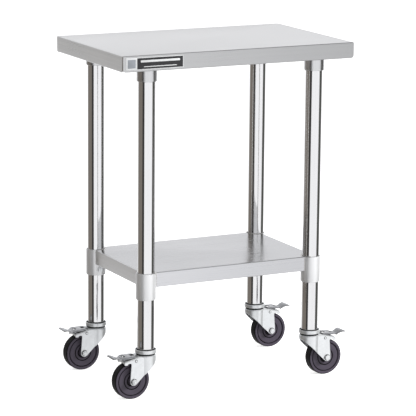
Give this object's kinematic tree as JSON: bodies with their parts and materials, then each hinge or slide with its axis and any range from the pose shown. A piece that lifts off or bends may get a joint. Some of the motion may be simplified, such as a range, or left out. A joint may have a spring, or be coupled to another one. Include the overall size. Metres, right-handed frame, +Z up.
{
  "type": "work table",
  "caption": "Stainless steel work table with a flat top, round tube legs, an undershelf sliding on the legs, and swivel casters with foot brakes.",
  "frame": {"origin": "on the floor, under the centre of the worktop", "axes": "+X along the worktop's length, +Y from front to back, +Z up"},
  "size_m": [0.63, 0.3814, 0.826],
  "materials": {
    "worktop_steel": "satin brushed along the length",
    "shelf_steel": "satin brushed along the length",
    "channel_steel": "dull mill finish",
    "socket_steel": "satin",
    "leg_steel": "polished tube",
    "zinc_plate": "bright zinc plating",
    "pedal_steel": "dull zinc plating",
    "bearing_steel": "ground",
    "wheel_rubber": "hard moulded rubber",
    "label": "plain printed film"
  },
  "bodies": {
    "table": {"worktop": "worktop_steel", "side_channel_left": "channel_steel", "side_channel_right": "channel_steel", "centre_channel": "channel_steel", "socket_screws": "zinc_plate", "label_plate": "label", "leg_socket_front_left": "socket_steel", "leg_socket_front_right": "socket_steel", "leg_socket_back_left": "socket_steel", "leg_socket_back_right": "socket_steel", "leg_front_left": "leg_steel", "leg_front_right": "leg_steel", "leg_back_left": "leg_steel", "leg_back_right": "leg_steel", "caster_stem_front_left": "zinc_plate", "caster_stem_front_right": "zinc_plate", "caster_stem_back_left": "zinc_plate", "caster_stem_back_right": "zinc_plate", "caster_cup_front_left": "zinc_plate", "caster_cup_front_right": "zinc_plate", "caster_cup_back_left": "zinc_plate", "caster_cup_back_right": "zinc_plate", "bearing_balls_front_left": "bearing_steel", "bearing_balls_front_right": "bearing_steel", "bearing_balls_back_left": "bearing_steel", "bearing_balls_back_right": "bearing_steel"},
    "shelf": {"undershelf": "shelf_steel", "shelf_screws": "zinc_plate", "shelf_collar_front_left": "socket_steel", "shelf_collar_front_right": "socket_steel", "shelf_collar_back_left": "socket_steel", "shelf_collar_back_right": "socket_steel"},
    "swivel_front_left": {"fork_front_left": "zinc_plate", "axle_bolt_front_left": "zinc_plate", "axle_nut_front_left": "zinc_plate", "brake_pin_front_left": "zinc_plate"},
    "wheel_set_front_left": {"wheel_front_left": "wheel_rubber", "wheel_bushing_front_left": "bearing_steel"},
    "pedal_front_left": {"brake_pedal_front_left": "pedal_steel"},
    "swivel_front_right": {"fork_front_right": "zinc_plate", "axle_bolt_front_right": "zinc_plate", "axle_nut_front_right": "zinc_plate", "brake_pin_front_right": "zinc_plate"},
    "wheel_set_front_right": {"wheel_front_right": "wheel_rubber", "wheel_bushing_front_right": "bearing_steel"},
    "pedal_front_right": {"brake_pedal_front_right": "pedal_steel"},
    "swivel_back_left": {"fork_back_left": "zinc_plate", "axle_bolt_back_left": "zinc_plate", "axle_nut_back_left": "zinc_plate", "brake_pin_back_left": "zinc_plate"},
    "wheel_set_back_left": {"wheel_back_left": "wheel_rubber", "wheel_bushing_back_left": "bearing_steel"},
    "pedal_back_left": {"brake_pedal_back_left": "pedal_steel"},
    "swivel_back_right": {"fork_back_right": "zinc_plate", "axle_bolt_back_right": "zinc_plate", "axle_nut_back_right": "zinc_plate", "brake_pin_back_right": "zinc_plate"},
    "wheel_set_back_right": {"wheel_back_right": "wheel_rubber", "wheel_bushing_back_right": "bearing_steel"},
    "pedal_back_right": {"brake_pedal_back_right": "pedal_steel"}
  },
  "joints": [
    {"name": "shelf_height", "type": "slide", "parent": "table", "child": "shelf", "axis": [0, 0, 1], "range_m": [-0.09, 0.3]},
    {"name": "swivel_turn_front_left", "type": "hinge", "parent": "table", "child": "swivel_front_left", "pos_m": [-0.222, -0.1435, 0.1], "axis": [0, 0, 1], "continuous": true},
    {"name": "wheel_spin_front_left", "type": "hinge", "parent": "swivel_front_left", "child": "wheel_set_front_left", "pos_m": [-0.262, -0.1435, 0.04445], "axis": [0, 1, 0], "continuous": true},
    {"name": "pedal_press_front_left", "type": "hinge", "parent": "swivel_front_left", "child": "pedal_front_left", "pos_m": [-0.256, -0.1435, 0.0945], "axis": [0, -1, 0], "range_deg": [0, 12]},
    {"name": "swivel_turn_front_right", "type": "hinge", "parent": "table", "child": "swivel_front_right", "pos_m": [0.222, -0.1435, 0.1], "axis": [0, 0, 1], "continuous": true},
    {"name": "wheel_spin_front_right", "type": "hinge", "parent": "swivel_front_right", "child": "wheel_set_front_right", "pos_m": [0.262, -0.1435, 0.04445], "axis": [0, 1, 0], "continuous": true},
    {"name": "pedal_press_front_right", "type": "hinge", "parent": "swivel_front_right", "child": "pedal_front_right", "pos_m": [0.256, -0.1435, 0.0945], "axis": [0, 1, 0], "range_deg": [0, 12]},
    {"name": "swivel_turn_back_left", "type": "hinge", "parent": "table", "child": "swivel_back_left", "pos_m": [-0.222, 0.1435, 0.1], "axis": [0, 0, 1], "continuous": true},
    {"name": "wheel_spin_back_left", "type": "hinge", "parent": "swivel_back_left", "child": "wheel_set_back_left", "pos_m": [-0.262, 0.1435, 0.04445], "axis": [0, 1, 0], "continuous": true},
    {"name": "pedal_press_back_left", "type": "hinge", "parent": "swivel_back_left", "child": "pedal_back_left", "pos_m": [-0.256, 0.1435, 0.0945], "axis": [0, -1, 0], "range_deg": [0, 12]},
    {"name": "swivel_turn_back_right", "type": "hinge", "parent": "table", "child": "swivel_back_right", "pos_m": [0.222, 0.1435, 0.1], "axis": [0, 0, 1], "continuous": true},
    {"name": "wheel_spin_back_right", "type": "hinge", "parent": "swivel_back_right", "child": "wheel_set_back_right", "pos_m": [0.262, 0.1435, 0.04445], "axis": [0, 1, 0], "continuous": true},
    {"name": "pedal_press_back_right", "type": "hinge", "parent": "swivel_back_right", "child": "pedal_back_right", "pos_m": [0.256, 0.1435, 0.0945], "axis": [0, 1, 0], "range_deg": [0, 12]}
  ]
}
